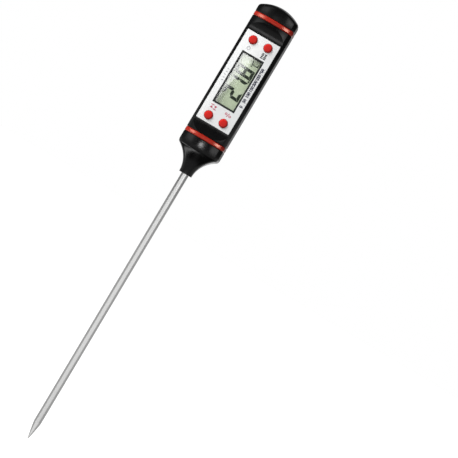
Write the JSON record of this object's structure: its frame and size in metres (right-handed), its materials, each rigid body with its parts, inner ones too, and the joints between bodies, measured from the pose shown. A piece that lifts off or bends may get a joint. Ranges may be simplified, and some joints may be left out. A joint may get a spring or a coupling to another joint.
{
  "type": "soil thermometer probe",
  "caption": "Slim black handle with a numeric display and round red keys, red seal rings, and a long thin pointed steel probe stem.",
  "frame": {"origin": "on the stem's axis, where the stem leaves the nose of the handle", "axes": "+Z along the stem towards the handle's end cap, so that the point hangs down; the display and the keys face -Y; +X is the reader's right"},
  "size_m": [0.0216, 0.0164, 0.24],
  "materials": {
    "stem_steel": "satin",
    "sensor_epoxy": "gloss",
    "lead_insulation": "satin",
    "collar_brass": "satin",
    "potting_resin": "gloss",
    "black_plastic": "gloss",
    "ring_red": "gloss",
    "panel_white": "gloss",
    "bezel_black": "satin",
    "window_clear": "clear, polished",
    "polarizer_film": "satin film",
    "display_glass": "clear",
    "reflector_film": "matte film",
    "connector_rubber": "matte",
    "holder_white": "matte",
    "board_green": "solder mask",
    "screw_steel": "zinc plated",
    "chip_resin": "gloss",
    "component_ceramic": "matte",
    "keypad_silicone": "matte",
    "key_red": "gloss",
    "cell_steel": "satin",
    "contact_nickel": "nickel plated",
    "solder": "satin",
    "carrier_black": "matte"
  },
  "bodies": {
    "handle": {"board_components": "component_ceramic", "board_screws": "screw_steel", "body_shell": "black_plastic", "circuit_board": "board_green", "controller_chip": "chip_resin", "face_panel": "panel_white", "keypad_lower": "keypad_silicone", "keypad_upper": "keypad_silicone", "lcd_bezel": "bezel_black", "lcd_front_glass": "display_glass", "lcd_front_polarizer": "polarizer_film", "lcd_holder": "holder_white", "lcd_rear_glass": "display_glass", "lcd_reflector": "reflector_film", "lcd_window": "window_clear", "negative_contact": "contact_nickel", "nose_cone": "black_plastic", "nose_ring": "ring_red", "positive_contact": "contact_nickel", "sensor_bead": "sensor_epoxy", "sensor_leads": "lead_insulation", "solder_joints": "solder", "stem_collar": "collar_brass", "stem_potting": "potting_resin", "stem_tip": "stem_steel", "stem_tube": "stem_steel", "zebra_strip_left": "connector_rubber", "zebra_strip_right": "connector_rubber"},
    "cap": {"end_cap": "black_plastic", "cap_ring": "ring_red", "battery_carrier": "carrier_black", "battery_cell": "cell_steel"},
    "power_key": {"key_power": "key_red"},
    "hold_key": {"key_hold": "key_red"},
    "minmax_key": {"key_minmax": "key_red"},
    "units_key": {"key_units": "key_red"}
  },
  "joints": [
    {"name": "cap_pull", "type": "slide", "parent": "handle", "child": "cap", "axis": [0, 0, 1], "range_m": [0, 0.03]},
    {"name": "power_press", "type": "slide", "parent": "handle", "child": "power_key", "axis": [0, 1, 0], "range_m": [0, 0.0005], "stiffness_N_per_m": 1200, "springref_m": -0.0005, "deforming": ["keypad_upper"]},
    {"name": "hold_press", "type": "slide", "parent": "handle", "child": "hold_key", "axis": [0, 1, 0], "range_m": [0, 0.0005], "stiffness_N_per_m": 1200, "springref_m": -0.0005, "deforming": ["keypad_upper"]},
    {"name": "minmax_press", "type": "slide", "parent": "handle", "child": "minmax_key", "axis": [0, 1, 0], "range_m": [0, 0.0005], "stiffness_N_per_m": 1200, "springref_m": -0.0005, "deforming": ["keypad_lower"]},
    {"name": "units_press", "type": "slide", "parent": "handle", "child": "units_key", "axis": [0, 1, 0], "range_m": [0, 0.0005], "stiffness_N_per_m": 1200, "springref_m": -0.0005, "deforming": ["keypad_lower"]}
  ]
}
